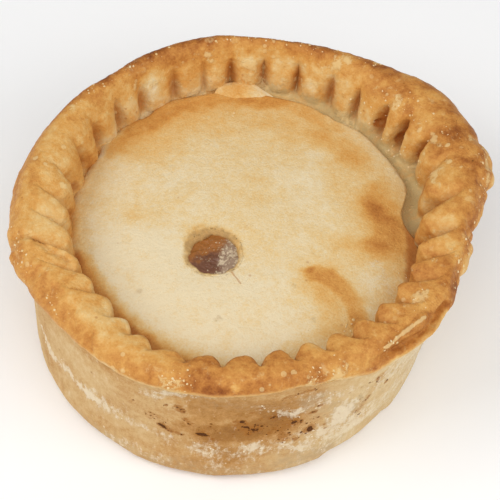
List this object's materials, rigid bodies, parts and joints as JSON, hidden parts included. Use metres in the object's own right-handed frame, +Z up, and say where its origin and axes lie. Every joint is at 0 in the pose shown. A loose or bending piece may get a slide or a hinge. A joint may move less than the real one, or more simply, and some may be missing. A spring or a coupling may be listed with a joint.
{
  "type": "pork pie",
  "caption": "Whole small round pork pie with a crimped hot-water crust, a sunken pale lid and an off-centre steam hole showing the meat.",
  "frame": {"origin": "middle of the outline seen from above, at the level of the flat base", "axes": "+Z up out of the lid, +Y towards the side where the rim stands tallest, +X towards the side where the rim leans furthest out past the base"},
  "size_m": [0.0982, 0.0928, 0.0415],
  "materials": {
    "browned_crust": "baked pastry, golden to brown on the rim and floury tan on the wall, satin to matte",
    "pale_crust": "lightly baked pastry, cream with golden patches, satin",
    "cooked_meat": "moist cooked meat in jelly, brown and slightly glossy",
    "flour_dust": "dry flour and dried pastry flakes, matte",
    "burnt_crust": "small burnt specks, dark and matte"
  },
  "bodies": {
    "root": {"pastry_case": "browned_crust", "lid": "pale_crust", "filling": "cooked_meat"}
  },
  "joints": []
}
